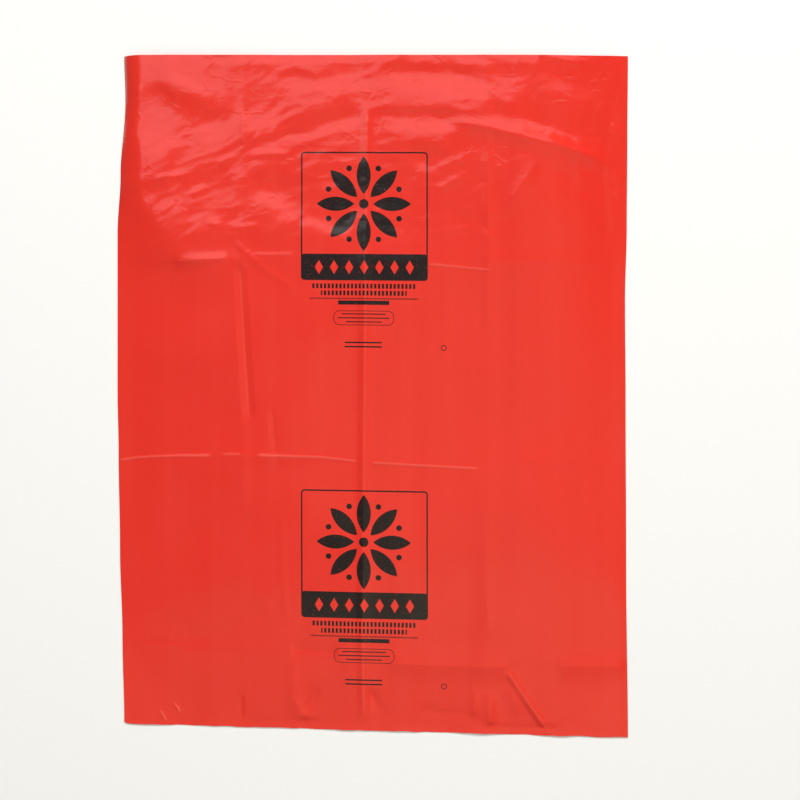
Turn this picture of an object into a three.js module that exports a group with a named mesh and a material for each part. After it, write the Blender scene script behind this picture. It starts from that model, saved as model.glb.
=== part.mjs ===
// A waste bag of polythene film, lying flat with its mouth open.
// It is one length of blown film tube: two side folds, a heat seal across the bottom, and a cut mouth.
// Millimetres. X runs across the bag, Y from the bottom seal to the mouth, Z up.
// The plain back wall lies at z = 0, and the front wall, the printed one, is on top.
import * as THREE from "three";

// The film tube laid flat
const bagWidth = 900;
const bagLength = 1200;
const filmThickness = 0.075;
const bottomSealWidth = 12;

// The air left between the walls, and how far the front wall takes to rise over it
const airGap = 14;
const sideRoll = 80;
const bottomRoll = 150;
const rollSteps = 4;

// Creases left by the folds that the bag was packed in.
// Heights are up from the wall around them, so a negative one is a valley.
const centreFoldX = -16;
const leftFoldFromCentre = 212;
const rightFoldFromCentre = 220;
const centreFoldHeight = 3.5;
const leftFoldHeight = -3;
const rightFoldHeight = 3;
const firstCrossFoldFromMouth = 365;
const crossFoldPitch = 350;
const crossFoldHeight = 3;
const foldReach = 40;

// Broad soft waves of the front wall
const waveHeight = 2;
const waveAcross = 340;
const waveAlong = 460;

// The largest flat facet along either side
const facetLength = 60;

const filmRed = 0xee4034;

const left = -bagWidth / 2;
const right = bagWidth / 2;
const bottom = -bagLength / 2;
const mouth = bagLength / 2;
const sealTop = bottom + bottomSealWidth;

const lengthwiseFolds = [
  { x: centreFoldX - leftFoldFromCentre, height: leftFoldHeight },
  { x: centreFoldX, height: centreFoldHeight },
  { x: centreFoldX + rightFoldFromCentre, height: rightFoldHeight },
];

const crossFolds = [];
for (let y = mouth - firstCrossFoldFromMouth; y > sealTop + foldReach; y -= crossFoldPitch) {
  crossFolds.push({ y, height: crossFoldHeight });
}

// 0 at the seam, 1 at the roll's inner end, steepest at the seam as an air-filled edge is.
function riseFrom(seam, position, roll) {
  const share = Math.min(Math.abs(position - seam) / roll, 1);
  return Math.sin((share * Math.PI) / 2);
}

// A straight-sided ridge or valley along a crease.
function crease(distance, height) {
  return height * Math.max(0, 1 - Math.abs(distance) / foldReach);
}

// How far the front wall stands off the back wall at a place away from the seams.
function airHeight(x, y) {
  if (y <= sealTop) {
    return 0;
  }
  const rise = riseFrom(left, x, sideRoll) * riseFrom(right, x, sideRoll) * riseFrom(sealTop, y, bottomRoll);
  const wave = waveHeight * Math.sin((2 * Math.PI * x) / waveAcross) * Math.cos((2 * Math.PI * y) / waveAlong);
  let relief = wave;
  for (const fold of lengthwiseFolds) {
    relief += crease(x - fold.x, fold.height);
  }
  for (const fold of crossFolds) {
    relief += crease(y - fold.y, fold.height);
  }
  return rise * (airGap + relief);
}

// Positions from start to end that take in every mark, with no step over facetLength.
function gridLines(start, end, marks) {
  const inside = marks.filter((mark) => mark > start && mark < end);
  const stops = [...new Set([start, ...inside, end])].sort((a, b) => a - b);
  const lines = [start];
  for (let i = 1; i < stops.length; i += 1) {
    const span = stops[i] - stops[i - 1];
    const cells = Math.ceil(span / facetLength);
    for (let cell = 1; cell <= cells; cell += 1) {
      lines.push(stops[i - 1] + (span * cell) / cells);
    }
  }
  return lines;
}

function rollMarks(seam, roll) {
  const marks = [];
  for (let step = 1; step <= rollSteps; step += 1) {
    marks.push(seam + (roll * step) / rollSteps);
  }
  return marks;
}

function foldMarks(position) {
  return [position - foldReach, position, position + foldReach];
}

const acrossLines = gridLines(left, right, [
  ...rollMarks(left, sideRoll),
  ...rollMarks(right, -sideRoll),
  ...lengthwiseFolds.flatMap((fold) => foldMarks(fold.x)),
]);
const alongLines = gridLines(sealTop, mouth, [
  ...rollMarks(sealTop, bottomRoll),
  ...crossFolds.flatMap((fold) => foldMarks(fold.y)),
]);

const points = [];
const faces = [];

function addPoint(x, y, z) {
  points.push(new THREE.Vector3(x, y, z));
  return points.length - 1;
}

// How far along its row each point lies, from 0 to 1.
function rowShares(row) {
  const start = points[row[0]];
  const length = start.distanceTo(points[row[row.length - 1]]);
  return row.map((index) => start.distanceTo(points[index]) / length);
}

// Faces between two rows of points that run the same way.
// They face along the cross product of the rows' direction and the step from the first row to the second.
function stitch(first, second) {
  const firstShares = rowShares(first);
  const secondShares = rowShares(second);
  let i = 0;
  let j = 0;
  while (i < first.length - 1 || j < second.length - 1) {
    const secondDone = j === second.length - 1;
    const firstNext = i < first.length - 1 && (secondDone || firstShares[i + 1] <= secondShares[j + 1]);
    if (firstNext) {
      faces.push([first[i], first[i + 1], second[j]]);
      i += 1;
    } else {
      faces.push([first[i], second[j + 1], second[j]]);
      j += 1;
    }
  }
}

function stitchRows(rows, facingUp) {
  for (let i = 1; i < rows.length; i += 1) {
    if (facingUp) {
      stitch(rows[i - 1], rows[i]);
    } else {
      stitch(rows[i], rows[i - 1]);
    }
  }
}

function ends(row) {
  return [row[0], row[row.length - 1]];
}

// The outside of the front wall, from the cut bottom edge to the mouth
const frontOutside = [bottom, ...alongLines].map((y) =>
  acrossLines.map((x) => addPoint(x, y, 2 * filmThickness + airHeight(x, y))),
);

// The outside of the back wall is flat, so its rows between the bottom and the mouth need only their ends.
const backOutside = [bottom, ...alongLines].map((y) => {
  const atEdge = y === bottom || y === mouth;
  return (atEdge ? acrossLines : [left, right]).map((x) => addPoint(x, y, 0));
});

// The inside of the front wall, one film thickness in from the outside and meeting the back wall at the seams
const insideLines = acrossLines.map((x) => Math.min(Math.max(x, left + filmThickness), right - filmThickness));
const frontInside = alongLines.map((y) =>
  insideLines.map((x, i) => addPoint(x, y, filmThickness + airHeight(acrossLines[i], y))),
);

// The inside of the back wall shares the seams' points and is flat between them.
const backMouthInside = insideLines.map((x, i) => {
  const last = frontInside[frontInside.length - 1];
  const atSeam = i === 0 || i === insideLines.length - 1;
  return atSeam ? last[i] : addPoint(x, mouth, filmThickness);
});
const backInside = [
  frontInside[0],
  ...frontInside.slice(1, -1).map(ends),
  backMouthInside,
];

stitchRows(frontOutside, true);
stitchRows(backOutside, false);
stitchRows(frontInside, false);
stitchRows(backInside, true);

// The cut bottom edge and the two side folds
stitch(backOutside[0], frontOutside[0]);
const sideColumn = (rows, side) => rows.map((row) => ends(row)[side]);
stitch(sideColumn(frontOutside, 0), sideColumn(backOutside, 0));
stitch(sideColumn(backOutside, 1), sideColumn(frontOutside, 1));

// The cut edge of the film round the mouth
const frontLip = frontOutside[frontOutside.length - 1];
const backLip = backOutside[backOutside.length - 1];
const frontLipInside = frontInside[frontInside.length - 1];
const [frontLipLeft, frontLipRight] = ends(frontLip);
const [backLipLeft, backLipRight] = ends(backLip);
const [seamLeft, seamRight] = ends(frontLipInside);
stitch(frontLip, frontLipInside);
stitch(backMouthInside, backLip);
faces.push([backLipLeft, frontLipLeft, seamLeft]);
faces.push([backLipRight, seamRight, frontLipRight]);

const film = new THREE.BufferGeometry();
film.setFromPoints(points);
film.setIndex(faces.flat());
film.computeVertexNormals();

const wasteBag = new THREE.Mesh(
  film,
  new THREE.MeshStandardMaterial({ color: filmRed, roughness: 0.35, metalness: 0 }),
);
wasteBag.name = "waste_bag";

const part = new THREE.Group();
part.add(wasteBag);

export default part;
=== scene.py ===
import math

import bpy
import numpy as np
from mathutils import Matrix, Vector


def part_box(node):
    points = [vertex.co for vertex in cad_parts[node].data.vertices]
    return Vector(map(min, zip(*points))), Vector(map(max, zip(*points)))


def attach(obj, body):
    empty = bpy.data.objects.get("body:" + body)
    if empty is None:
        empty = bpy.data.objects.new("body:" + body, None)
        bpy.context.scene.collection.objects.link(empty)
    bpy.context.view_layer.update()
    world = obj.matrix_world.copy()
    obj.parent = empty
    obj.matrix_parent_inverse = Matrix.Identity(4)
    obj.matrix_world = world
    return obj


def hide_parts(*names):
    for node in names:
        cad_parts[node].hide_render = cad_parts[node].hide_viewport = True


# A large waste bag of red polythene film, lying flat with its mouth open.
# The film is shaped in millimetres of flat film: x across from the bag's middle,
# y along from its middle, with the mouth at the high end. mm turns that to metres.

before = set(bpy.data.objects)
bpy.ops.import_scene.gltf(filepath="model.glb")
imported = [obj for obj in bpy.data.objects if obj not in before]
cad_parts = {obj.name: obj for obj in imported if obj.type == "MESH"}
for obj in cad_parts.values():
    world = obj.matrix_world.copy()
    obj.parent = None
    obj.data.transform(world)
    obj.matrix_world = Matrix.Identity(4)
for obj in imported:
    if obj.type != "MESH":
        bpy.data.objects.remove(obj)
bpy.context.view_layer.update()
cadLow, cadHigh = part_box("waste_bag")
mm = 0.001

bag = {
    "width": (cadHigh[0] - cadLow[0]) / mm,
    "length": (cadHigh[1] - cadLow[1]) / mm,
    "filmThickness": 0.075,
    "sealWidth": 12.0,
    "airGap": 14.0,  # between the walls, as in the frame
    "sideRoll": 80.0,  # how far in from a side fold the front wall takes to rise
    "bottomRoll": 330.0,
    "outOfSquare": 6.3,  # the right side lies this much lower, and the left this much higher
    "edgeCurl": 2.5,  # how far the seal and the mouth lift off the floor in places
    "raggedCut": 0.9,
    "cornerRound": 3.0,
}
halfWidth = bag["width"] / 2
halfLength = bag["length"] / 2
sealTop = bag["sealWidth"] - halfLength

# How far apart the mesh's lines lie, from each place to the next: close where the film is creased
linesAcross = [(-450, 4.5), (-247, 3.3), (-210, 4.5), (-34, 3.2), (4, 4.5), (450, 0)]
linesAlong = [(-588, 4.0), (-436, 9.0), (-136, 3.2), (-90, 9.0), (170, 4.0), (600, 0)]
backCell = 22.0

# How far each side fold bows outwards from straight, at places along the bag
leftBow = [
    (-600, 0), (-445, 3.5), (-285, 8), (-115, 10.5), (0, 12.5), (280, 12.5), (387, 7), (520, -2), (600, 0),
]
rightBow = [(-600, 0), (-300, -3), (0, -4), (170, -5), (300, -2), (450, -1), (600, 0)]

# The folds that the bag was packed in, which press a grid of creases into the film
packFolds = {
    "Centre Fold": -15 * mm,
    "Fold Spacing": 216 * mm,
    "First Cross Fold": 235 * mm,
    "Cross Fold Pitch": 350 * mm,
    "Fold Height": 1.1 * mm,
    "Fold Reach": 26 * mm,
    "Wave Height": 2.6 * mm,
    "Wave Size": 260 * mm,
    "Wave Seed": 4.0,
}


def smoothStep(low, high, value):
    share = np.clip((value - low) / (high - low), 0, 1)
    return share * share * (3 - 2 * share)


def easedLine(stops, value):
    # Runs through the stops, with a level tangent at each
    result = np.zeros_like(value, dtype=float)
    for (at, level), (nextAt, nextLevel) in zip(stops, stops[1:]):
        inside = (value >= at) & (value <= nextAt)
        result = np.where(inside, level + (nextLevel - level) * smoothStep(at, nextAt, value), result)
    return result


def softNoise(x, y, seed):
    # Gradient noise with about one bump to each unit, from -1 to 1
    side = 64
    angles = np.random.RandomState(seed).uniform(0, 2 * math.pi, (side, side))
    column = np.floor(x).astype(int)
    row = np.floor(y).astype(int)
    dx = x - column
    dy = y - row

    def corner(stepX, stepY):
        angle = angles[(column + stepX) % side, (row + stepY) % side]
        return np.cos(angle) * (dx - stepX) + np.sin(angle) * (dy - stepY)

    easeX = dx * dx * dx * (dx * (6 * dx - 15) + 10)
    easeY = dy * dy * dy * (dy * (6 * dy - 15) + 10)
    near = corner(0, 0) * (1 - easeX) + corner(1, 0) * easeX
    far = corner(0, 1) * (1 - easeX) + corner(1, 1) * easeX
    return 1.4 * (near * (1 - easeY) + far * easeY)


def sharpRidges(x, y, seed):
    # Narrow crests with broad hollows between, from about -0.5 to 0.5
    return 0.5 - np.sqrt(np.abs(softNoise(x, y, seed)) + 0.002)


def crumpledFacets(x, y, seed):
    # Shallow dished facets that meet in creases, one to each unit
    side = 48
    random = np.random.RandomState(seed)
    jitter = random.uniform(0.1, 0.9, (side, side, 2))
    level = random.uniform(-0.4, 0.4, (side, side))
    column = np.floor(x).astype(int)
    row = np.floor(y).astype(int)
    nearest = np.full(x.shape, 9.0)
    for stepX in (-1, 0, 1):
        for stepY in (-1, 0, 1):
            i = (column + stepX) % side
            j = (row + stepY) % side
            dx = x - (column + stepX + jitter[i, j, 0])
            dy = y - (row + stepY + jitter[i, j, 1])
            nearest = np.minimum(nearest, dx * dx + dy * dy + level[i, j] + 0.4)
    return nearest - 0.6


def alongPath(x, y, path):
    # Distance from a path, signed with its left-hand side positive, and the share of its length passed
    points = np.array(path, dtype=float)
    spans = np.hypot(*np.diff(points, axis=0).T)
    passed = np.concatenate([[0], np.cumsum(spans)])
    best = np.full(x.shape, 1e9)
    signed = np.zeros(x.shape)
    share = np.zeros(x.shape)
    for k, span in enumerate(spans):
        (ax, ay), (bx, by) = points[k], points[k + 1]
        ux, uy = (bx - ax) / span, (by - ay) / span
        along = np.clip((x - ax) * ux + (y - ay) * uy, 0, span)
        dx = x - ax - along * ux
        dy = y - ay - along * uy
        distance = np.hypot(dx, dy)
        closer = distance < best
        best = np.where(closer, distance, best)
        signed = np.where(closer, np.copysign(distance, ux * dy - uy * dx), signed)
        share = np.where(closer, (passed[k] + along) / passed[-1], share)
    return best, signed, share


def fadedEnds(share, fade):
    return smoothStep(0, fade, share) * smoothStep(0, fade, 1 - share)


def ridge(x, y, path, height, reach, fade=0.2, curve=1.6):
    # A crest along a path, or a valley where its height is negative. A curve of 1 has straight sides.
    distance, _, share = alongPath(x, y, path)
    return height * fadedEnds(share, fade) * np.clip(1 - distance / reach, 0, 1) ** curve


def step(x, y, path, height, width, reach, fade=0.2):
    # The film lies higher to the left of the path and lower to its right, and evens out within reach
    distance, signed, share = alongPath(x, y, path)
    across = 0.5 * height * fadedEnds(share, fade) * np.tanh(signed / width)
    return across * np.clip(1 - distance / reach, 0, 1) ** 1.3


# Sharp creases with straight sides. Half of each one's height is in the mesh, which rounds it off at its
# crest, and the material presses in the rest, from the distance to the crease that the mesh carries.
# Each has its path, its height, its reach to either side and the share of its length in which it fades out.
creases = {
    "lengthwise": [
        ([(-10, 520), (-11, 340), (-14, 100), (-16, -110), (-18, -370), (-17, -600)], 2.0, 12, 0.04),
        # the left crease, a valley that slants in
        ([(-236, 232), (-229, 95), (-219, -60)], -2.3, 13, 0.1),
        ([(-232, 505), (-232, 436)], 0.5, 6, 0.2),
        ([(-181, -20), (-175, -90), (-170, -138)], -0.9, 9, 0.2),
        ([(-164, -210), (-160, -313), (-155, -425)], 0.7, 10, 0.2),
        ([(-238, -530), (-239, -601)], -1.0, 9, 0.35),
        # the right crease
        ([(203, 470), (208, 276), (204, 100)], 0.9, 12, 0.12),
        ([(202, -360), (205, -424)], 0.5, 8, 0.2),
        # the slanting crease by the lower right of the seal
        ([(237, -486), (270, -536), (315, -601)], 2.3, 9, 0.1),
    ],
    "crosswise": [
        ([(-352, 231), (-318, 234), (-253, 239)], 1.6, 18, 0.12),
        ([(-215, 245), (-131, 246)], 0.6, 7, 0.2),
        ([(84, 231), (150, 226), (226, 219)], 0.9, 7, 0.2),
        ([(-452, -127), (-420, -121), (-383, -118), (-340, -116), (-283, -115)], 0.9, 6, 0.06),
        ([(-272, -113), (-228, -112)], 0.6, 6, 0.2),
        ([(-213, -113), (-94, -114), (-20, -121)], 0.9, 6, 0.08),
        ([(-10, -122), (85, -126), (196, -130)], 0.9, 6, 0.08),
        ([(-443, -460), (-390, -459), (-330, -457)], 0.4, 6, 0.2),
        ([(-150, -458), (-105, -459), (-58, -464)], -2.2, 40, 0.15),
        ([(20, -479), (135, -481), (248, -481)], 2.2, 44, 0.12),
        ([(320, -477), (380, -476), (452, -474)], 2.4, 46, 0.12),
        # the star of small creases by the lower left corner
        ([(-386, -570), (-379, -583), (-371, -598)], 1.6, 6, 0.4),
        ([(-345, -584), (-352, -569), (-364, -555)], 1.1, 6, 0.4),
    ],
}
creaseCurve = {"lengthwise": 1, "crosswise": 2}  # 1 for straight sides, 2 for sides that level out
meshShare = 0.5  # of a crease's height

# Soft crests and, where the height is negative, valleys: path, height, reach and fade
ridges = [
    # lobes that swell out of the seal
    ([(180, -510), (180, -596)], 2.3, 17, 0.45),
    ([(205, -516), (209, -612)], 3.0, 18, 0.4),
    ([(243, -505), (256, -572)], 1.8, 18, 0.4),
    ([(-144, -462), (-143, -548), (-124, -576), (-84, -596)], 2.2, 30, 0.35),
    ([(-124, -576), (-95, -520)], -2.0, 16, 0.3),
    ([(-9, -518), (22, -594)], -2.4, 16, 0.3),
    ([(92, -548), (102, -574), (142, -576), (174, -578), (202, -592)], -2.8, 20),
    # the long fold that sweeps from the middle of the mouth to the right edge
    ([(120, 486), (196, 474), (259, 459), (329, 442), (392, 421), (426, 392)], 4.0, 30),
    # wrinkles of the handled upper part
    ([(-225, 420), (-190, 424), (-145, 424)], 1.3, 10, 0.3),
    ([(-277, 405), (-242, 422)], 1.2, 10, 0.3),
    ([(-324, 350), (-296, 365)], 1.4, 9, 0.3),
    ([(-374, 315), (-351, 338)], 1.3, 9, 0.3),
    ([(-400, 377), (-325, 388)], 1.1, 9, 0.3),
    ([(-292, 303), (-270, 294)], 1.2, 9, 0.3),
    ([(283, 602), (386, 584)], 1.2, 11, 0.3),
    ([(223, 307), (263, 368), (302, 426)], 1.5, 22, 0.4),
    ([(101, 395), (184, 426)], 1.1, 14, 0.4),
    ([(98, 353), (178, 395)], 1.1, 14, 0.4),
    ([(-256, 278), (-194, 220), (-123, 171)], 1.0, 10, 0.2),
    ([(-256, 293), (-194, 296)], 1.2, 10, 0.3),
    ([(425, 396), (441, 369)], 1.6, 10, 0.3),
    ([(426, 363), (447, 351)], 1.6, 10, 0.3),
    ([(419, 484), (446, 450)], 1.6, 12, 0.3),
]

# Places where the film lies higher to the left of the path: path, height, width, reach and fade
steps = [
    ([(234, -488), (267, -538), (312, -602)], 1.0, 4, 60, 0.12),
    # soft dark dimples
    ([(-232, -368), (-185, -396)], 2.2, 12, 46, 0.35),
    ([(-345, -420), (-296, -436)], 1.8, 12, 40, 0.35),
    # a soft upright fold near the right side
    ([(411, 515), (420, 450), (412, 385), (421, 310), (416, 225)], 1.5, 6, 40, 0.3),
]

# Slopes of the handled upper part, from left to right across it. A wide one is a tilted patch and a narrow
# one a streak. A positive fall drops towards the mouth, and so faces the light from there. Each has its
# path, fall, width, reach and fade.
slopes = [
    ([(-428, 454), (-352, 454)], 5.8, 46, 110),
    ([(-440, 362), (-352, 370)], -3.6, 22, 80),
    ([(-330, 392), (-246, 398)], -2.8, 22, 80),
    ([(-407, 560), (-350, 520), (-290, 494), (-250, 482)], -5.0, 22, 90),
    ([(-392, 330), (-320, 318)], 2.4, 17, 60),
    ([(-366, 566), (-282, 526)], 1.8, 10, 40),
    ([(-320, 470), (-262, 480)], 1.8, 22, 70),
    ([(-238, 474), (-160, 478)], 3.0, 26, 80),
    ([(-178, 448), (-102, 462), (-9, 487)], 2.0, 11, 50),
    ([(-290, 424), (-179, 458), (-86, 490), (-9, 512)], -2.8, 12, 60),
    ([(-160, 530), (-60, 548), (20, 552)], 2.0, 16, 60),
    ([(-220, 380), (-136, 380)], -3.4, 22, 80),
    ([(-216, 364), (-165, 332), (-124, 292)], 5.8, 23, 84, 0.3),
    ([(-137, 306), (-93, 296), (-36, 280)], 4.6, 18, 66),
    ([(-330, 300), (-270, 322)], 1.6, 14, 60),
    ([(-6, 584), (207, 575)], -2.0, 9, 40),
    ([(16, 544), (130, 540), (290, 538)], 3.6, 25, 80),
    ([(-14, 503), (116, 500), (230, 492)], -2.6, 7, 44),
    ([(22, 470), (90, 474), (160, 470)], 3.0, 17, 60),
    ([(60, 432), (140, 436)], -1.8, 12, 50),
    ([(70, 402), (160, 398)], 1.6, 14, 56),
    ([(290, 560), (400, 520)], 2.2, 20, 76),
    ([(286, 420), (372, 392)], -2.4, 16, 80),
]


def slope(x, y, path, fall, width, reach, fade=0.2):
    return step(x, y, path, -fall, width, reach, fade)


crumple = {
    "starts": (232, 300),  # how far up the film the crumples start
    "belowMouth": 130,  # where the streaks' arch is full
    "arch": 165,  # how far the streaks bend down at the sides
    "drift": 22,
    "streaks": 0.7,
    "creasing": 0.5,
    "dished": 1.15,
    "calmRight": 0.75,  # how much calmer the film is right of the print
}
sag = {"broad": 1.6, "finer": 0.7}
backWall = {"relief": 0.12, "ridged": 0.6}


def archedCrumple(x, y):
    # Crumples left by handling: streaks along the mouth that arch down towards both sides
    belowMouth = smoothStep(0, crumple["belowMouth"], halfLength - y)
    arched = y + belowMouth * crumple["arch"] * (x / halfWidth) ** 2
    drift = crumple["drift"] * softNoise(x / 170, y / 120, 11)
    streaks = sharpRidges(x / 120, (arched + drift) / 30, 21)
    creasing = sharpRidges((x + arched) / 46, (arched - 0.3 * x + drift) / 22, 22)
    dished = crumpledFacets((x + drift) / 60, (arched + drift) / 36, 23)
    patchy = 0.5 + 0.5 * softNoise(x / 110, y / 80, 24)
    above = smoothStep(*crumple["starts"], y)
    calmRight = 1 - crumple["calmRight"] * smoothStep(205, 260, x) * (1 - smoothStep(410, 440, y))
    amount = above * calmRight * (0.2 + patchy)
    shaped = crumple["streaks"] * streaks + crumple["creasing"] * creasing + crumple["dished"] * dished
    return amount * shaped


def softSag(x, y):
    # Broad soft hollows of the calm lower part
    broad = softNoise(x / 190, y / 330, 31)
    finer = softNoise(x / 80, y / 190, 32)
    return sag["broad"] * broad + sag["finer"] * finer


def roll(distance, reach, steepness):
    # Steep at the seam, and level at its reach
    return 1 - (1 - np.clip(distance / reach, 0, 1)) ** steepness


def wallRise(x, y):
    # 0 at the seams and 1 over the air between the walls. The upper left side is rolled tightest,
    # and the rest rises gently.
    upper = smoothStep(150, 380, y)
    uneven = 1 + 0.35 * softNoise(0 * x + 3.5, y / 95, 61)
    leftReach = bag["sideRoll"] * (2.8 - 2.3 * upper) * uneven
    left = roll(halfWidth + x, leftReach, 1.25 + 1.15 * upper)
    right = roll(halfWidth - x, 2.4 * bag["sideRoll"], 1.4)
    return left * right * roll(y - sealTop, bag["bottomRoll"], 1.7)


def nearSeams(x, y):
    # The creases run closer to the seams than the air does
    sides = smoothStep(0, 26, halfWidth - x) * smoothStep(0, 26, halfWidth + x)
    return sides * smoothStep(0, 11, y - sealTop)


def frontHeight(x, y):
    relief = archedCrumple(x, y) + softSag(x, y)
    for run, lines in creases.items():
        for one in lines:
            relief = relief + meshShare * ridge(x, y, *one, curve=creaseCurve[run])
    for shapes, shape in ((ridges, ridge), (steps, step), (slopes, slope)):
        for one in shapes:
            relief = relief + shape(x, y, *one)
    rise = wallRise(x, y)
    lowest = 0.3 + 2.2 * rise
    height = rise * bag["airGap"] + nearSeams(x, y) * relief
    return np.where(y <= sealTop, 0, np.maximum(height, nearSeams(x, y) * lowest))


def nearestCrease(x, y, run):
    # For each point, of the nearest crease: the signed distance to it, the slope of its sides
    # that is left to the material, and its reach. Beyond the reach the slope fades away.
    nearest = np.full(x.shape, 1e9)
    found = np.zeros((*x.shape, 3))
    for path, height, reach, fade in run:
        distance, signed, share = alongPath(x, y, path)
        within = 1 - smoothStep(reach + 2, reach + 5, distance)
        sideSlope = (1 - meshShare) * height / reach * fadedEnds(share, fade) * within
        closer = distance < nearest
        nearest = np.where(closer, distance, nearest)
        here = np.stack([signed, sideSlope, np.full(x.shape, float(reach))], axis=-1)
        found = np.where(closer[..., None], here, found)
    return found


def backHeight(x, y):
    ridged = backWall["ridged"] * sharpRidges(x / 90, y / 70, 42)
    relief = 0.5 + softNoise(x / 120, y / 150, 41) + ridged
    return nearSeams(x, y) * np.clip(relief, 0, 1.6) * backWall["relief"]


def edgeLift(x, y):
    # Both walls together curl a little off the floor at the cut edges
    atSeal = np.exp(-(y + halfLength) / 60) * np.clip(softNoise(x / 75 + 7, 0 * y, 51) + 0.35, 0, 1)
    atMouth = np.exp(-(halfLength - y) / 80) * np.clip(softNoise(x / 160 + 3, 0 * y, 52) + 0.2, 0, 1)
    return bag["edgeCurl"] * (atSeal + atMouth)


def laidPlace(x, y):
    # Where a point of the flat film lies: the sides bow, and the cut edges run out of square.
    # The hot cut below the seal is a little ragged and rounds off the left corner.
    toLeft = np.clip(-x / halfWidth, 0, 1) ** 3
    toRight = np.clip(x / halfWidth, 0, 1) ** 3
    laidX = x - toLeft * easedLine(leftBow, y) + toRight * easedLine(rightBow, y)
    laidY = y - bag["outOfSquare"] * x / halfWidth
    atCut = 1 - smoothStep(0, bag["sealWidth"], y + halfLength)
    ragged = softNoise(x / 34, 0 * x + 2.5, 71) + 0.5 * softNoise(x / 13, 0 * x + 5.5, 72)
    corner = np.exp(-(x + halfWidth) / bag["cornerRound"])
    laidY = laidY + atCut * (bag["raggedCut"] * ragged + bag["cornerRound"] * corner)
    return laidX, laidY


def spaced(start, end, step):
    return np.linspace(start, end, max(2, int(round((end - start) / step)) + 1))


def meshLines(stops):
    # Places from the first stop to the last, each stretch with its own step
    stretches = [spaced(start, end, step)[:-1] for (start, step), (end, _) in zip(stops, stops[1:])]
    return np.concatenate([*stretches, [stops[-1][0]]])


def rowEnds(rows):
    return [row[0] for row in rows], [row[-1] for row in rows]


class FilmMesh:
    # The film's points and faces while they are being laid out
    def __init__(self):
        self.places = []
        self.flat = []
        self.lift = []
        self.faces = []
        self.sides = []

    def addLine(self, x, y, height, lift):
        x, y = np.broadcast_arrays(np.asarray(x, dtype=float), np.asarray(y, dtype=float))
        laidX, laidY = laidPlace(x, y)
        start = len(self.places)
        self.places.extend(zip(laidX, laidY, np.broadcast_to(height, x.shape)))
        self.flat.extend(zip(x, y))
        self.lift.extend(np.broadcast_to(lift, x.shape))
        return list(range(start, start + len(x)))

    def shares(self, line):
        points = np.array([self.places[k] for k in line])
        passed = np.concatenate([[0], np.cumsum(np.linalg.norm(np.diff(points, axis=0), axis=1))])
        return passed / passed[-1]

    def stitch(self, first, second, side):
        # Faces between two lines that run the same way. They face along the line crossed with the step
        # from the first to the second.
        if len(first) == len(second):
            # the lower point at the left is always joined to the upper one at the right, so that
            # the two sides of the film bend along the same lines
            turned = first[0] > second[0]
            for i in range(len(first) - 1):
                a, b, c, d = first[i], first[i + 1], second[i + 1], second[i]
                self.faces.extend([(a, b, d), (b, c, d)] if turned else [(a, b, c), (a, c, d)])
                self.sides.extend([side, side])
            return
        firstShare, secondShare = self.shares(first), self.shares(second)
        i, j = 0, 0
        while i < len(first) - 1 or j < len(second) - 1:
            secondDone = j == len(second) - 1
            if i < len(first) - 1 and (secondDone or firstShare[i + 1] <= secondShare[j + 1]):
                self.faces.append((first[i], first[i + 1], second[j]))
                i += 1
            else:
                self.faces.append((first[i], second[j + 1], second[j]))
                j += 1
            self.sides.append(side)

    def stitchRows(self, rows, up, side):
        for low, high in zip(rows, rows[1:]):
            self.stitch(*((low, high) if up else (high, low)), side)

    def fill(self, rim, rows, up, side):
        # A wall of wide cells inside a rim of close points: rim is its bottom, top, left and right lines
        bottom, top, left, right = rim
        starts, ends = rowEnds(rows)
        self.stitchRows(rows, up, side)
        for first, second in ((bottom, rows[0]), (rows[-1], top), (starts, left), (right, ends)):
            self.stitch(*((first, second) if up else (second, first)), side)


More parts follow.
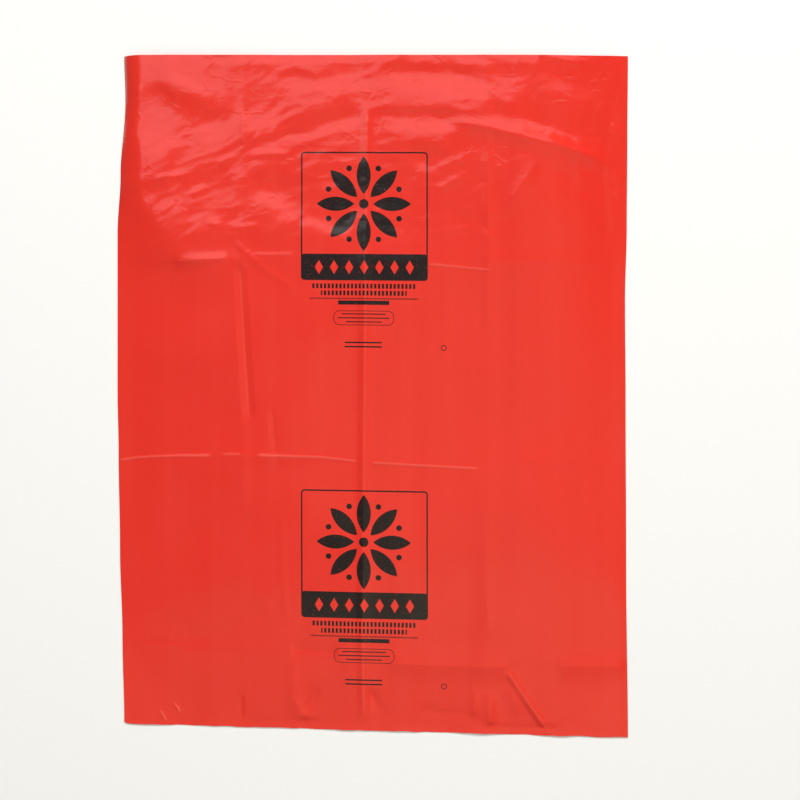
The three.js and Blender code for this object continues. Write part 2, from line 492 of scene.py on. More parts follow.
def makeFilmMesh():
    film = FilmMesh()
    thickness = bag["filmThickness"]
    across = meshLines(linesAcross)
    along = meshLines(linesAlong)
    withSeal = np.concatenate([[-halfLength, (sealTop - halfLength) / 2], along])
    insideAcross = np.clip(across, thickness - halfWidth, halfWidth - thickness)
    wideAcross = spaced(-halfWidth, halfWidth, backCell)[1:-1]
    wideAlong = spaced(sealTop, halfLength, backCell)[1:-1]

    def line(lineX, lineY, level, height, lift, shapeX=None):
        x, y = np.broadcast_arrays(lineX if shapeX is None else shapeX, np.asarray(lineY, dtype=float))
        z = level + height(x, y) + edgeLift(x, y)
        return film.addLine(lineX, lineY, z, lift(x, y))

    def noLift(x, y):
        return np.zeros(x.shape)

    # the front wall, outside and inside
    outside = [line(across, y, 2 * thickness, frontHeight, wallRise) for y in withSeal]
    inside = [line(insideAcross, y, thickness, frontHeight, wallRise, across) for y in along]
    film.stitchRows(outside, True, 0)
    film.stitchRows(inside, False, 1)

    # the back wall, with close points only round its rim
    backBottom = line(across, -halfLength, 0, backHeight, noLift)
    backMouth = line(across, halfLength, 0, backHeight, noLift)

    def backSide(x, end):
        between = line(np.full(len(withSeal) - 2, x), withSeal[1:-1], 0, backHeight, noLift)
        return [backBottom[end], *between, backMouth[end]]

    backLeft = backSide(-halfWidth, 0)
    backRight = backSide(halfWidth, -1)
    rows = [line(wideAcross, y, 0, backHeight, noLift) for y in wideAlong]
    film.fill((backBottom, backMouth, backLeft, backRight), rows, False, 2)
    mouthInside = line(insideAcross[1:-1], halfLength, thickness, backHeight, noLift)
    mouthInside = [inside[-1][0], *mouthInside, inside[-1][-1]]
    rows = [line(wideAcross, y, thickness, backHeight, noLift) for y in wideAlong]
    film.fill((inside[0], mouthInside, *rowEnds(inside)), rows, True, 3)

    # the cut bottom edge, the side folds and the cut edge round the mouth
    outsideLeft, outsideRight = rowEnds(outside)
    film.stitch(backBottom, outside[0], 4)
    film.stitch(outsideLeft, backLeft, 4)
    film.stitch(backRight, outsideRight, 4)
    film.stitch(outside[-1], inside[-1], 4)
    film.stitch(mouthInside, backMouth, 4)
    film.faces.append((backMouth[0], outside[-1][0], inside[-1][0]))
    film.faces.append((backMouth[-1], inside[-1][-1], outside[-1][-1]))
    film.sides.extend([4, 4])

    mesh = bpy.data.meshes.new("film_bag")
    mesh.from_pydata(np.array(film.places) * mm, [], film.faces)
    flat = np.array(film.flat) * mm
    place = mesh.attributes.new("flatPlace", "FLOAT_VECTOR", "POINT")
    place.data.foreach_set("vector", np.column_stack([flat, np.zeros(len(flat))]).ravel())
    lift = mesh.attributes.new("lift", "FLOAT", "POINT")
    lift.data.foreach_set("value", np.array(film.lift, dtype=float))
    for name, run in creases.items():
        carried = mesh.attributes.new(name, "FLOAT_VECTOR", "POINT")
        carried.data.foreach_set("vector", nearestCrease(*np.array(film.flat).T, run).ravel())

    # the film laid out flat as a UV map in metres, with each side of the film in a place of its own
    corners = np.empty(len(mesh.loops), dtype=int)
    mesh.loops.foreach_get("vertex_index", corners)
    counts = np.empty(len(mesh.polygons), dtype=int)
    mesh.polygons.foreach_get("loop_total", counts)
    layout = flat[corners]
    layout[:, 0] += np.repeat(np.array(film.sides, dtype=float), counts)
    mesh.uv_layers.new(name="flatFilm").data.foreach_set("uv", layout.ravel())
    print("film:", len(mesh.vertices), "points,", len(mesh.polygons), "faces")
    return mesh


def firstOut(node):
    return next(socket for socket in node.outputs if socket.enabled)


def addNode(tree, kind, inputs=None, **settings):
    # An input is a value, a socket, or a node, whose first output is linked
    node = tree.nodes.new(kind)
    for name, value in settings.items():
        setattr(node, name, value)
    for socket, value in (inputs or {}).items():
        value = firstOut(value) if isinstance(value, bpy.types.Node) else value
        if isinstance(value, bpy.types.NodeSocket):
            tree.links.new(value, node.inputs[socket])
        else:
            node.inputs[socket].default_value = value
    return node


def addPackFolds(film, material):
    # Raises the fold grid and the broad waves over the front wall
    tree = bpy.data.node_groups.new("pack folds", "GeometryNodeTree")
    tree.interface.new_socket("Geometry", in_out="INPUT", socket_type="NodeSocketGeometry")
    for name in packFolds:
        tree.interface.new_socket(name, in_out="INPUT", socket_type="NodeSocketFloat")
    tree.interface.new_socket("Film", in_out="INPUT", socket_type="NodeSocketMaterial")
    tree.interface.new_socket("Geometry", in_out="OUTPUT", socket_type="NodeSocketGeometry")
    given = tree.nodes.new("NodeGroupInput").outputs

    place = addNode(
        tree, "GeometryNodeInputNamedAttribute", {"Name": "flatPlace"}, data_type="FLOAT_VECTOR"
    )
    lift = addNode(tree, "GeometryNodeInputNamedAttribute", {"Name": "lift"}, data_type="FLOAT")
    apart = addNode(tree, "ShaderNodeSeparateXYZ", {0: place})

    def foldHeight(along, first, pitch):
        # a crest at each fold, stronger and weaker along it
        offset = addNode(tree, "ShaderNodeMath", {0: along, 1: first}, operation="SUBTRACT")
        half = addNode(tree, "ShaderNodeMath", {0: pitch, 1: 0.5}, operation="MULTIPLY")
        minusHalf = addNode(tree, "ShaderNodeMath", {0: pitch, 1: -0.5}, operation="MULTIPLY")
        nearest = addNode(tree, "ShaderNodeMath", {0: offset, 1: half, 2: minusHalf}, operation="WRAP")
        distance = addNode(tree, "ShaderNodeMath", {0: nearest}, operation="ABSOLUTE")
        falling = addNode(
            tree,
            "ShaderNodeMapRange",
            {"Value": distance, "From Max": given["Fold Reach"], "To Min": 1.0, "To Max": 0.0},
        )
        return addNode(tree, "ShaderNodeMath", {0: falling, 1: 1.6}, operation="POWER")

    lengthwise = foldHeight(apart.outputs["X"], given["Centre Fold"], given["Fold Spacing"])
    crosswise = foldHeight(apart.outputs["Y"], given["First Cross Fold"], given["Cross Fold Pitch"])
    strength = addNode(
        tree,
        "ShaderNodeTexNoise",
        {"Vector": place, "W": given["Wave Seed"], "Scale": 5.0, "Detail": 0.0},
        noise_dimensions="4D",
    )
    uneven = addNode(
        tree, "ShaderNodeMapRange", {"Value": strength, "From Min": 0.35, "From Max": 0.65, "To Min": 0.1}
    )
    crests = addNode(tree, "ShaderNodeMath", {0: lengthwise, 1: crosswise}, operation="ADD")
    unevenCrests = addNode(tree, "ShaderNodeMath", {0: crests, 1: uneven}, operation="MULTIPLY")

    waveScale = addNode(tree, "ShaderNodeMath", {0: 1.0, 1: given["Wave Size"]}, operation="DIVIDE")
    wave = addNode(
        tree,
        "ShaderNodeTexNoise",
        {"Vector": place, "W": given["Wave Seed"], "Scale": waveScale, "Detail": 1.0},
        noise_dimensions="4D",
    )
    centred = addNode(
        tree, "ShaderNodeMapRange", {"Value": wave, "From Min": 0.25, "From Max": 0.75, "To Min": -1.0}
    )
    waveRise = addNode(tree, "ShaderNodeMath", {0: centred, 1: given["Wave Height"]}, operation="MULTIPLY")
    rise = addNode(
        tree,
        "ShaderNodeMath",
        {0: unevenCrests, 1: given["Fold Height"], 2: waveRise},
        operation="MULTIPLY_ADD",
    )
    shown = addNode(tree, "ShaderNodeMath", {0: rise, 1: lift}, operation="MULTIPLY")
    upwards = addNode(tree, "ShaderNodeCombineXYZ", {"Z": shown})
    moved = addNode(tree, "GeometryNodeSetPosition", {"Geometry": given["Geometry"], "Offset": upwards})
    whole = addNode(tree, "GeometryNodeRealizeInstances", {"Geometry": moved})
    painted = addNode(tree, "GeometryNodeSetMaterial", {"Geometry": whole, "Material": given["Film"]})
    addNode(tree, "NodeGroupOutput", {"Geometry": painted})

    modifier = film.modifiers.new("pack folds", "NODES")
    modifier.node_group = tree
    values = dict(packFolds, Film=material)
    for item in tree.interface.items_tree:
        if item.in_out == "INPUT" and item.name in values:
            modifier[item.identifier] = values[item.name]


def settle(shaped, name):
    # Turns a piece made by modifiers into a plain mesh
    graph = bpy.context.evaluated_depsgraph_get()
    evaluated = shaped.evaluated_get(graph)
    mesh = bpy.data.meshes.new_from_object(evaluated, preserve_all_data_layers=True, depsgraph=graph)
    mesh.name = name
    shaped.modifiers.clear()
    shaped.data = mesh
    mesh.shade_smooth()
    mesh.set_sharp_from_angle(angle=math.radians(50))


def addObject(name, data):
    made = bpy.data.objects.new(name, data)
    bpy.context.scene.collection.objects.link(made)
    return made


def linear(hexColour):
    # An sRGB hex colour as linear values
    parts = [int(hexColour[k : k + 2], 16) / 255 for k in (0, 2, 4)]
    return (*[p / 12.92 if p <= 0.04045 else ((p + 0.055) / 1.055) ** 2.4 for p in parts], 1.0)


# The print, in millimetres of flat film. Two like blocks stand one above the other, and each is drawn
# round the middle of its frame. It is plain ornament: a frame with a rosette, rows of ticks and rules.
printing = {
    "middle": (-15.0, 314.0),  # of the upper block's frame
    "repeat": 600.0,  # down to the lower block
    "above": 170.0,  # how far a block's own stretch of film goes up from its middle
    "frame": (226.0, 228.0),
    "corner": 6.5,
    "line": 2.6,
    "band": 47.0,  # height of the solid band along the frame's foot
    "lozenges": {"pitch": 27.0, "count": 7, "size": (15.0, 25.0)},
    "rosette": {"middle": (-1.0, 22.0), "petals": 8, "from": 17.0, "to": 84.0, "halfWidth": 12.5},
    "beads": {"at": 68.0, "radius": 5.0},  # between the petals
    "tickRows": [  # middle, length, height and pitch
        ((-1.0, -124.0), 186.0, 8.6, 6.9),
        ((-1.0, -136.4), 153.0, 8.6, 6.9),
        ((-1.0, -146.2), 192.0, 2.8, 3.4),
    ],
    "bars": [  # middle, size and corner
        ((-1.0, -153.4), (91.0, 7.4), 1.0),
        ((-1.0, -173.5), (78.0, 1.9), 0.4),
        ((-1.0, -180.5), (92.0, 1.9), 0.4),
        ((-1.0, -187.5), (64.0, 1.9), 0.4),
        ((-2.0, -224.0), (66.0, 2.6), 0.4),
        ((-2.0, -231.5), (66.0, 2.6), 0.4),
    ],
    "pill": ((-1.0, -180.5), (108.0, 26.0), 11.0, 1.1),  # middle, size, corner and line
    "stamp": ((141.0, -232.0), 5.2, 1.5),  # a small ring: middle, radius and line
    "tick": 0.58,  # a tick's share of its pitch
    "edge": 0.5,  # how soft the ink's edge is
}


def boxDistance(tree, place, middle, size, corner):
    # Distance to a box with round corners, negative inside it
    away = addNode(tree, "ShaderNodeVectorMath", {0: place, 1: (*middle, 0)}, operation="SUBTRACT")
    folded = addNode(tree, "ShaderNodeVectorMath", {0: away}, operation="ABSOLUTE")
    inner = (size[0] / 2 - corner, size[1] / 2 - corner, 0)
    over = addNode(tree, "ShaderNodeVectorMath", {0: folded, 1: inner}, operation="SUBTRACT")
    outside = addNode(tree, "ShaderNodeVectorMath", {0: over, 1: (0, 0, 0)}, operation="MAXIMUM")
    reach = addNode(tree, "ShaderNodeVectorMath", {0: outside}, operation="LENGTH")
    parts = addNode(tree, "ShaderNodeSeparateXYZ", {0: over})
    larger = addNode(
        tree, "ShaderNodeMath", {0: parts.outputs["X"], 1: parts.outputs["Y"]}, operation="MAXIMUM"
    )
    inside = addNode(tree, "ShaderNodeMath", {0: larger, 1: 0.0}, operation="MINIMUM")
    total = addNode(tree, "ShaderNodeMath", {0: reach.outputs["Value"], 1: inside}, operation="ADD")
    return addNode(tree, "ShaderNodeMath", {0: total, 1: corner}, operation="SUBTRACT")


def outlineDistance(tree, distance, line):
    # Distance to a line drawn just inside an edge
    centred = addNode(tree, "ShaderNodeMath", {0: distance, 1: line / 2}, operation="ADD")
    either = addNode(tree, "ShaderNodeMath", {0: centred}, operation="ABSOLUTE")
    return addNode(tree, "ShaderNodeMath", {0: either, 1: line / 2}, operation="SUBTRACT")


def rosetteDistance(tree, place):
    # Petals and beads round a middle: one sector is drawn, and the angle is wrapped into it
    rosette = printing["rosette"]
    beads = printing["beads"]
    sector = 2 * math.pi / rosette["petals"]
    away = addNode(
        tree, "ShaderNodeVectorMath", {0: place, 1: (*rosette["middle"], 0)}, operation="SUBTRACT"
    )
    parts = addNode(tree, "ShaderNodeSeparateXYZ", {0: away})
    radius = addNode(tree, "ShaderNodeVectorMath", {0: away}, operation="LENGTH").outputs["Value"]
    angle = addNode(
        tree, "ShaderNodeMath", {0: parts.outputs["Y"], 1: parts.outputs["X"]}, operation="ARCTAN2"
    )

    def inSector(turn):
        # the place turned into the sector that has its middle at turn, as a vector along and across it
        turned = addNode(tree, "ShaderNodeMath", {0: angle, 1: turn}, operation="SUBTRACT")
        wrapped = addNode(
            tree, "ShaderNodeMath", {0: turned, 1: sector / 2, 2: -sector / 2}, operation="WRAP"
        )
        along = addNode(tree, "ShaderNodeMath", {0: wrapped}, operation="COSINE")
        across = addNode(tree, "ShaderNodeMath", {0: wrapped}, operation="SINE")
        half = addNode(tree, "ShaderNodeMath", {0: across}, operation="ABSOLUTE")
        unit = addNode(tree, "ShaderNodeCombineXYZ", {"X": along, "Y": half})
        return addNode(tree, "ShaderNodeVectorMath", {0: unit, "Scale": radius}, operation="SCALE")

    # a petal lies between two arcs
    halfLength = (rosette["to"] - rosette["from"]) / 2
    arc = (halfLength**2 + rosette["halfWidth"] ** 2) / (2 * rosette["halfWidth"])
    arcMiddle = (rosette["from"] + halfLength, rosette["halfWidth"] - arc, 0)
    fromArc = addNode(tree, "ShaderNodeVectorMath", {0: inSector(0.0), 1: arcMiddle}, operation="DISTANCE")
    petal = addNode(tree, "ShaderNodeMath", {0: fromArc.outputs["Value"], 1: arc}, operation="SUBTRACT")
    beadMiddle = (beads["at"], 0, 0)
    fromBead = addNode(
        tree, "ShaderNodeVectorMath", {0: inSector(sector / 2), 1: beadMiddle}, operation="DISTANCE"
    )
    bead = addNode(
        tree, "ShaderNodeMath", {0: fromBead.outputs["Value"], 1: beads["radius"]}, operation="SUBTRACT"
    )
    eye = addNode(tree, "ShaderNodeMath", {0: radius, 1: rosette["from"] / 2}, operation="SUBTRACT")
    both = addNode(tree, "ShaderNodeMath", {0: petal, 1: bead}, operation="MINIMUM")
    return addNode(tree, "ShaderNodeMath", {0: both, 1: eye}, operation="MINIMUM")


def tickRow(tree, place, middle, length, height, pitch):
    # Ticks across a row, each a little over half the pitch wide
    row = boxDistance(tree, place, middle, (length, height), 0.3)
    parts = addNode(tree, "ShaderNodeSeparateXYZ", {0: place})
    fromMiddle = addNode(
        tree, "ShaderNodeMath", {0: parts.outputs["X"], 1: middle[0]}, operation="SUBTRACT"
    )
    wrapped = addNode(
        tree, "ShaderNodeMath", {0: fromMiddle, 1: pitch / 2, 2: -pitch / 2}, operation="WRAP"
    )
    either = addNode(tree, "ShaderNodeMath", {0: wrapped}, operation="ABSOLUTE")
    tick = addNode(
        tree, "ShaderNodeMath", {0: either, 1: printing["tick"] * pitch / 2}, operation="SUBTRACT"
    )
    return addNode(tree, "ShaderNodeMath", {0: row, 1: tick}, operation="MAXIMUM")


def printedPlaces(tree, flat):
    # 1 where there is ink and 0 where there is none. flat is the place on the flat film in millimetres.
    middleX, middleY = printing["middle"]
    parts = addNode(tree, "ShaderNodeSeparateXYZ", {0: flat})
    acrossBlock = addNode(tree, "ShaderNodeMath", {0: parts.outputs["X"], 1: middleX}, operation="SUBTRACT")
    fromUpper = addNode(tree, "ShaderNodeMath", {0: parts.outputs["Y"], 1: middleY}, operation="SUBTRACT")
    alongBlock = addNode(
        tree,
        "ShaderNodeMath",
        {0: fromUpper, 1: printing["above"], 2: printing["above"] - printing["repeat"]},
        operation="WRAP",
    )
    place = addNode(tree, "ShaderNodeCombineXYZ", {"X": acrossBlock, "Y": alongBlock})

    frameBox = boxDistance(tree, place, (0, 0), printing["frame"], printing["corner"])
    bandMiddle = (0, (printing["band"] - printing["frame"][1]) / 2)
    bandSize = (printing["frame"][0], printing["band"])
    band = boxDistance(tree, place, bandMiddle, bandSize, printing["corner"])

    # plain lozenges left bare along the band
    lozenges = printing["lozenges"]
    acrossRow = (lozenges["count"] - 0.5) * lozenges["pitch"]
    row = boxDistance(tree, place, bandMiddle, (acrossRow, printing["band"]), 0)
    halfPitch = lozenges["pitch"] / 2
    away = addNode(tree, "ShaderNodeVectorMath", {0: place, 1: (*bandMiddle, 0)}, operation="SUBTRACT")
    inRow = addNode(
        tree,
        "ShaderNodeVectorMath",
        {0: away, 1: (halfPitch, 400, 1), 2: (-halfPitch, -400, -1)},
        operation="WRAP",
    )
    shrunk = addNode(
        tree,
        "ShaderNodeVectorMath",
        {0: inRow, 1: (2 / lozenges["size"][0], 2 / lozenges["size"][1], 0)},
        operation="MULTIPLY",
    )
    folded = addNode(tree, "ShaderNodeVectorMath", {0: shrunk}, operation="ABSOLUTE")
    summed = addNode(tree, "ShaderNodeVectorMath", {0: folded, 1: (1, 1, 0)}, operation="DOT_PRODUCT")
    spread = addNode(
        tree,
        "ShaderNodeMath",
        {0: summed.outputs["Value"], 1: lozenges["size"][0] / 2, 2: -lozenges["size"][0] / 2},
        operation="MULTIPLY_ADD",
    )
    lozenge = addNode(tree, "ShaderNodeMath", {0: spread, 1: row}, operation="MAXIMUM")
    outOfLozenge = addNode(tree, "ShaderNodeMath", {0: lozenge, 1: -1.0}, operation="MULTIPLY")
    bandLeft = addNode(tree, "ShaderNodeMath", {0: band, 1: outOfLozenge}, operation="MAXIMUM")

    pillMiddle, pillSize, pillCorner, pillLine = printing["pill"]
    pill = boxDistance(tree, place, pillMiddle, pillSize, pillCorner)
    stampMiddle, stampRadius, stampLine = printing["stamp"]
    stamp = boxDistance(tree, place, stampMiddle, (2 * stampRadius, 2 * stampRadius), stampRadius)
    shapes = [
        outlineDistance(tree, frameBox, printing["line"]),
        bandLeft,
        rosetteDistance(tree, place),
        outlineDistance(tree, pill, pillLine),
        outlineDistance(tree, stamp, stampLine),
    ]
    shapes += [tickRow(tree, place, *one) for one in printing["tickRows"]]
    shapes += [boxDistance(tree, place, *one) for one in printing["bars"]]
    nearest = shapes[0]
    for shape in shapes[1:]:
        nearest = addNode(tree, "ShaderNodeMath", {0: nearest, 1: shape}, operation="MINIMUM")
    half = printing["edge"] / 2
    return addNode(
        tree,
        "ShaderNodeMapRange",
        {"Value": nearest, "From Min": -half, "From Max": half, "To Min": 1.0, "To Max": 0.0},
    )


filmLook = {
    "red": "e8291a",
    "thinRed": "ec3626",  # where the film is a little thinner
    "pressedRedAndHighlight": "f4604f",  # on a crease, where pressing has whitened the film, and lighter still as a painted highlight along it
    # how far each run of creases is lightened: whitening of pressed film with a painted highlight on top
    "pressedWhiteAndHighlight": {"lengthwise": 0.25, "crosswise": 0.8},
    "pressedAndHighlightLine": 3.0,  # millimetres to either side of a crease, wider than the real 1 so that it shows; the painted highlight runs as wide
    "ink": "100709",
    "roughness": (0.15, 0.22),
    "inkRoughness": 0.22,
    "gaugeBands": 38.0,  # millimetres between the faint bands that run along the tube
    "grain": 1.6,  # millimetres, coarser than the real grain of about 0.2 so that it shows
    "grainHeight": 0.012,
    "dents": 15.0,  # millimetres across one of the small dents of handled film
    "dentHeight": 0.42,
    "creaseCells": 24.0,  # millimetres between the fine crease lines
    "creaseHeight": 0.24,
    "handled": (215.0, 330.0),  # how far up the film the dents and the fine crease lines start
}


def pressedCreases(tree):
    # The rest of the sharp creases: their height in millimetres, and how much lighter the film is painted
    # along them, partly the whitening of pressed film and partly a painted highlight
    heights, lines = [], []
    for run in creases:
        carried = addNode(tree, "ShaderNodeAttribute", attribute_name=run)
        parts = addNode(tree, "ShaderNodeSeparateXYZ", {0: carried.outputs["Vector"]})
        distance = addNode(tree, "ShaderNodeMath", {0: parts.outputs["X"]}, operation="ABSOLUTE")
        left = addNode(tree, "ShaderNodeMath", {0: parts.outputs["Z"], 1: distance}, operation="SUBTRACT")
        within = addNode(tree, "ShaderNodeMath", {0: left, 1: 0.0}, operation="MAXIMUM")
        share = addNode(tree, "ShaderNodeMath", {0: within, 1: parts.outputs["Z"]}, operation="DIVIDE")
        curved = addNode(tree, "ShaderNodeMath", {0: share, 1: creaseCurve[run]}, operation="POWER")
        full = addNode(
            tree, "ShaderNodeMath", {0: parts.outputs["Y"], 1: parts.outputs["Z"]}, operation="MULTIPLY"
        )
        height = addNode(tree, "ShaderNodeMath", {0: curved, 1: full}, operation="MULTIPLY")
        line = addNode(
            tree,
            "ShaderNodeMapRange",
            {"Value": distance, "From Max": filmLook["pressedAndHighlightLine"], "To Min": 1.0, "To Max": 0.0},
        )
        steepness = addNode(tree, "ShaderNodeMath", {0: parts.outputs["Y"]}, operation="ABSOLUTE")
        whitestAndHighlight = filmLook["pressedWhiteAndHighlight"][run]
        sharp = addNode(
            tree,
            "ShaderNodeMapRange",
            {"Value": steepness, "From Min": 0.03, "From Max": 0.09, "To Max": whitestAndHighlight},
        )
        heights.append(height)
        lines.append(addNode(tree, "ShaderNodeMath", {0: line, 1: sharp}, operation="MULTIPLY"))
    relief = addNode(tree, "ShaderNodeMath", {0: heights[0], 1: heights[1]}, operation="ADD")
    whitenedAndHighlight = addNode(tree, "ShaderNodeMath", {0: lines[0], 1: lines[1]}, operation="MAXIMUM")
    return relief, whitenedAndHighlight


def handledRelief(tree, flat):
    # Fine relief in millimetres: broken crease lines and small dents of the handled part, and a grain
    drift = addNode(tree, "ShaderNodeTexNoise", {"Vector": flat, "Scale": 1 / 40, "Detail": 2.0})
    drifted = addNode(
        tree,
        "ShaderNodeVectorMath",
        {0: drift.outputs["Color"], 1: (26, 26, 0), 2: flat},
        operation="MULTIPLY_ADD",
    )
    squeezed = addNode(tree, "ShaderNodeVectorMath", {0: drifted, 1: (0.62, 1, 1)}, operation="MULTIPLY")
    network = addNode(
        tree,
        "ShaderNodeTexVoronoi",
        {"Vector": squeezed, "Scale": 1 / filmLook["creaseCells"]},
        feature="DISTANCE_TO_EDGE",
    )
    creaseLine = addNode(
        tree,
        "ShaderNodeMapRange",
        {"Value": network.outputs["Distance"], "From Max": 0.11, "To Min": 1.0, "To Max": 0.0},
    )
    broken = addNode(tree, "ShaderNodeTexNoise", {"Vector": flat, "Scale": 1 / 34, "Detail": 2.0})
    kept = addNode(
        tree,
        "ShaderNodeMapRange",
        {"Value": broken, "From Min": 0.52, "From Max": 0.66, "To Max": filmLook["creaseHeight"]},
    )
    lineHeight = addNode(tree, "ShaderNodeMath", {0: creaseLine, 1: kept}, operation="MULTIPLY")
    dents = addNode(
        tree, "ShaderNodeTexNoise", {"Vector": squeezed, "Scale": 1 / filmLook["dents"], "Detail": 2.0}
    )
    both = addNode(
        tree,
        "ShaderNodeMath",
        {0: dents, 1: filmLook["dentHeight"], 2: lineHeight},
        operation="MULTIPLY_ADD",
    )
    parts = addNode(tree, "ShaderNodeSeparateXYZ", {0: flat})
    low, high = filmLook["handled"]
    handled = addNode(
        tree,
        "ShaderNodeMapRange",
        {"Value": parts.outputs["Y"], "From Min": low, "From Max": high, "To Min": 0.1},
    )
    shown = addNode(tree, "ShaderNodeMath", {0: both, 1: handled}, operation="MULTIPLY")
    grain = addNode(
        tree, "ShaderNodeTexNoise", {"Vector": flat, "Scale": 1 / filmLook["grain"], "Detail": 1.0}
    )
    return addNode(
        tree,
        "ShaderNodeMath",
        {0: grain, 1: filmLook["grainHeight"], 2: shown},
        operation="MULTIPLY_ADD",
    )


def blownFilm():
    # Blown low-density polythene film, pigmented red, with flexographic print: a soft broad shine,
    # faint bands along the tube, small bright glints on the wrinkles and ink that is a little duller
    material = bpy.data.materials.new("blown red polythene film")
    material.use_nodes = True
    tree = material.node_tree
    tree.nodes.clear()
    layout = addNode(tree, "ShaderNodeUVMap", uv_map="flatFilm")
    flat = addNode(tree, "ShaderNodeVectorMath", {0: layout, "Scale": 1 / mm}, operation="SCALE")

    # gauge bands: thin and thick film by turns across the tube, hardly changing along it
    alongTube = addNode(tree, "ShaderNodeVectorMath", {0: flat, 1: (1, 0.03, 1)}, operation="MULTIPLY")
    bands = addNode(
        tree,
        "ShaderNodeTexNoise",
        {"Vector": alongTube, "Scale": 1 / filmLook["gaugeBands"], "Detail": 3.0},
    )
    clouds = addNode(tree, "ShaderNodeTexNoise", {"Vector": flat, "Scale": 1 / 90, "Detail": 2.0})
    thin = addNode(
        tree, "ShaderNodeMapRange", {"Value": bands, "From Min": 0.35, "From Max": 0.7, "To Max": 0.4}
    )
    banded = addNode(
        tree,
        "ShaderNodeMix",
        {"Factor": thin, "A": linear(filmLook["red"]), "B": linear(filmLook["thinRed"])},
        data_type="RGBA",
    )
    # the crease lines are painted lighter: partly the whitening of pressed film, partly a painted highlight
    # that stands in for their shine
    pressedHeight, pressedWhiteAndHighlight = pressedCreases(tree)
    red = addNode(
        tree,
        "ShaderNodeMix",
        {"Factor": pressedWhiteAndHighlight, "A": banded, "B": linear(filmLook["pressedRedAndHighlight"])},
        data_type="RGBA",
    )

    # ink with pinholes, worn through along the sharpest creases
    pinholes = addNode(tree, "ShaderNodeTexNoise", {"Vector": flat, "Scale": 1 / 2.2, "Detail": 1.0})
    covered = addNode(
        tree, "ShaderNodeMapRange", {"Value": pinholes, "From Min": 0.24, "From Max": 0.34, "To Min": 0.5}
    )
    worn = addNode(
        tree,
        "ShaderNodeMapRange",
        {"Value": pressedWhiteAndHighlight, "From Min": 0.3, "From Max": 0.9, "To Min": 1.0, "To Max": 0.5},
    )
    whole = addNode(tree, "ShaderNodeMath", {0: covered, 1: worn}, operation="MULTIPLY")
    ink = addNode(tree, "ShaderNodeMath", {0: printedPlaces(tree, flat), 1: whole}, operation="MULTIPLY")
    colour = addNode(
        tree, "ShaderNodeMix", {"Factor": ink, "A": red, "B": linear(filmLook["ink"])}, data_type="RGBA"
    )

    smooth, rough = filmLook["roughness"]
    filmRoughness = addNode(
        tree,
        "ShaderNodeMapRange",
        {"Value": clouds, "From Min": 0.3, "From Max": 0.7, "To Min": smooth, "To Max": rough},
    )
    roughness = addNode(
        tree,
        "ShaderNodeMix",
        {"Factor": ink, "A": filmRoughness, "B": filmLook["inkRoughness"]},
        data_type="FLOAT",
    )

    relief = addNode(
        tree, "ShaderNodeMath", {0: handledRelief(tree, flat), 1: pressedHeight}, operation="ADD"
    )
    bump = addNode(tree, "ShaderNodeBump", {"Height": relief, "Strength": 1.0, "Distance": mm})

    shader = addNode(
        tree,
        "ShaderNodeBsdfPrincipled",
        {
            "Base Color": colour,
            "Roughness": roughness,
            "Normal": bump,
            "IOR": 1.51,
            "Coat Weight": 0.15,
            "Coat Roughness": 0.08,
            "Coat IOR": 1.5,
        },
    )
    addNode(tree, "ShaderNodeOutputMaterial", {"Surface": shader})
    return material


def paleFloor():
    # Matt painted board
    material = bpy.data.materials.new("matt white floor paint")
    material.use_nodes = True
    shader = material.node_tree.nodes["Principled BSDF"]
    shader.inputs["Base Color"].default_value = linear(room["floor"])
    shader.inputs["Roughness"].default_value = 0.9
    return material


photoView = {
    "distance": 3.0,  # from the middle of the view to the camera, metres
    "turn": 4.2,  # how far the camera stands to the right, degrees
    "middle": (0.0485, -0.0117, 0.014),  # what the middle of the picture shows
    "width": 1.4165,  # metres across the picture there
    "sensor": 36.0,
}


def addCamera():
    camera = bpy.data.cameras.new("camera")
    camera.sensor_width = photoView["sensor"]
    camera.lens = photoView["sensor"] * photoView["distance"] / photoView["width"]
    stand = addObject("camera", camera)
    turn = math.radians(photoView["turn"])
    away = Vector((math.sin(turn), 0, math.cos(turn)))
    up = Vector((0, 1, 0))
    side = up.cross(away)
    stand.matrix_world = Matrix((side, up, away)).transposed().to_4x4()
    stand.location = Vector(photoView["middle"]) + away * photoView["distance"]
    bpy.context.scene.camera = stand


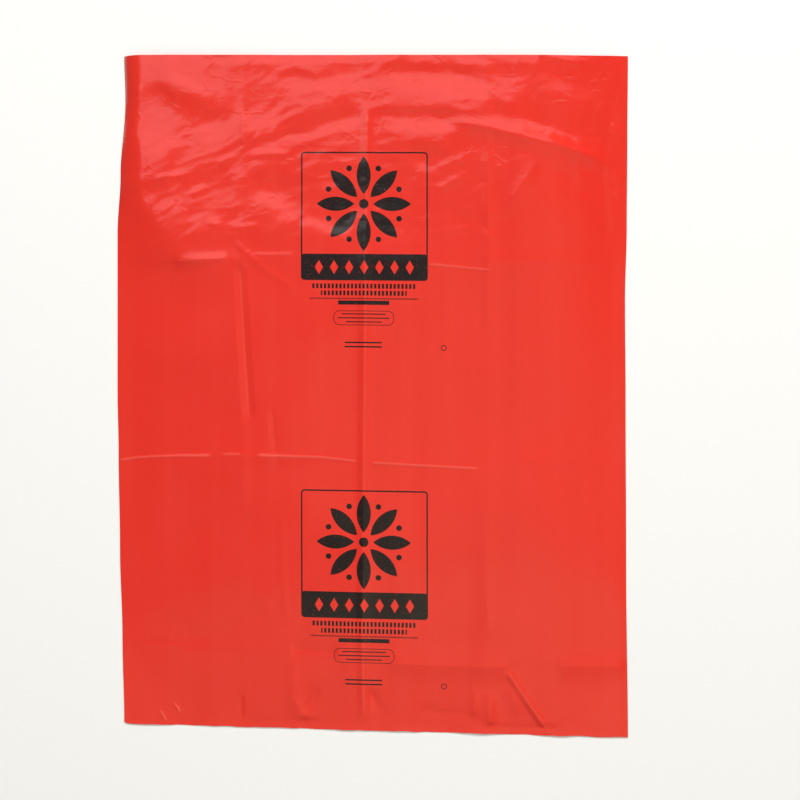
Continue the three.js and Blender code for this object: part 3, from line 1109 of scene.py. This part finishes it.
# the key and the fill light the film, and the panels show in its shine
lights = {
    "key": {"at": (4.4, 9.8, 7.0), "size": (3.8, 3.2), "power": 1470, "shines": False},
    "fill": {"at": (-0.5, -0.6, 6.0), "size": (4.0, 4.0), "power": 50, "shines": False},
    "softbox": {"at": (-0.4, 1.68, 3.0), "towards": (0, 0.3, 0), "size": (3.0, 1.3), "power": 17.5},
    "lowPanel": {
        "at": (0.1, -1.7, 3.0),
        "towards": (0, -0.4, 0),
        "size": (3.0, 1.8),
        "power": 6.0,
        "colour": "fff0c0",
    },
    "sidePanel": {
        "at": (0.6, -0.3, 3.2),
        "towards": (0.4, 0, 0),
        "size": (1.9, 1.9),
        "power": 3.2,
        "colour": "fff0c0",
    },
}
room = {"colour": "eceae4", "strength": 0.32, "floor": "f9f9f8", "floorReach": 30.0, "floorLevel": -0.0006}


def addLights():
    for name, light in lights.items():
        lamp = bpy.data.lights.new(name, "AREA")
        lamp.shape = "RECTANGLE"
        lamp.size, lamp.size_y = light["size"]
        lamp.energy = light["power"]
        lamp.color = linear(light.get("colour", "ffffff"))[:3]
        stand = addObject(name, lamp)
        stand.location = light["at"]
        aim = Vector(light.get("towards", (0, 0, 0))) - Vector(light["at"])
        stand.rotation_euler = aim.to_track_quat("-Z", "Y").to_euler()
        stand.visible_glossy = light.get("shines", True)
    world = bpy.data.worlds.new("studio")
    world.use_nodes = True
    background = world.node_tree.nodes["Background"]
    background.inputs["Color"].default_value = linear(room["colour"])
    background.inputs["Strength"].default_value = room["strength"]
    bpy.context.scene.world = world
    bpy.context.scene.view_settings.view_transform = "Standard"
    print("lights:", ", ".join(lights))


def addFloor():
    mesh = bpy.data.meshes.new("floor")
    reach, level = room["floorReach"], room["floorLevel"]
    corners = [(x * reach, y * reach, level) for x, y in ((-1, -1), (1, -1), (1, 1), (-1, 1))]
    mesh.from_pydata(corners, [], [(0, 1, 2, 3)])
    mesh.materials.append(paleFloor())
    addObject("floor", mesh)


addCamera()
addLights()
addFloor()
redFilm = blownFilm()
print("film material:", redFilm.name)
filmBag = addObject("film_bag", makeFilmMesh())
filmBag.data.materials.append(redFilm)
addPackFolds(filmBag, redFilm)
settle(filmBag, "film_bag")
print("pack folds raised over the front wall")
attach(filmBag, "root")
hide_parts("waste_bag")
print("bag dressed")
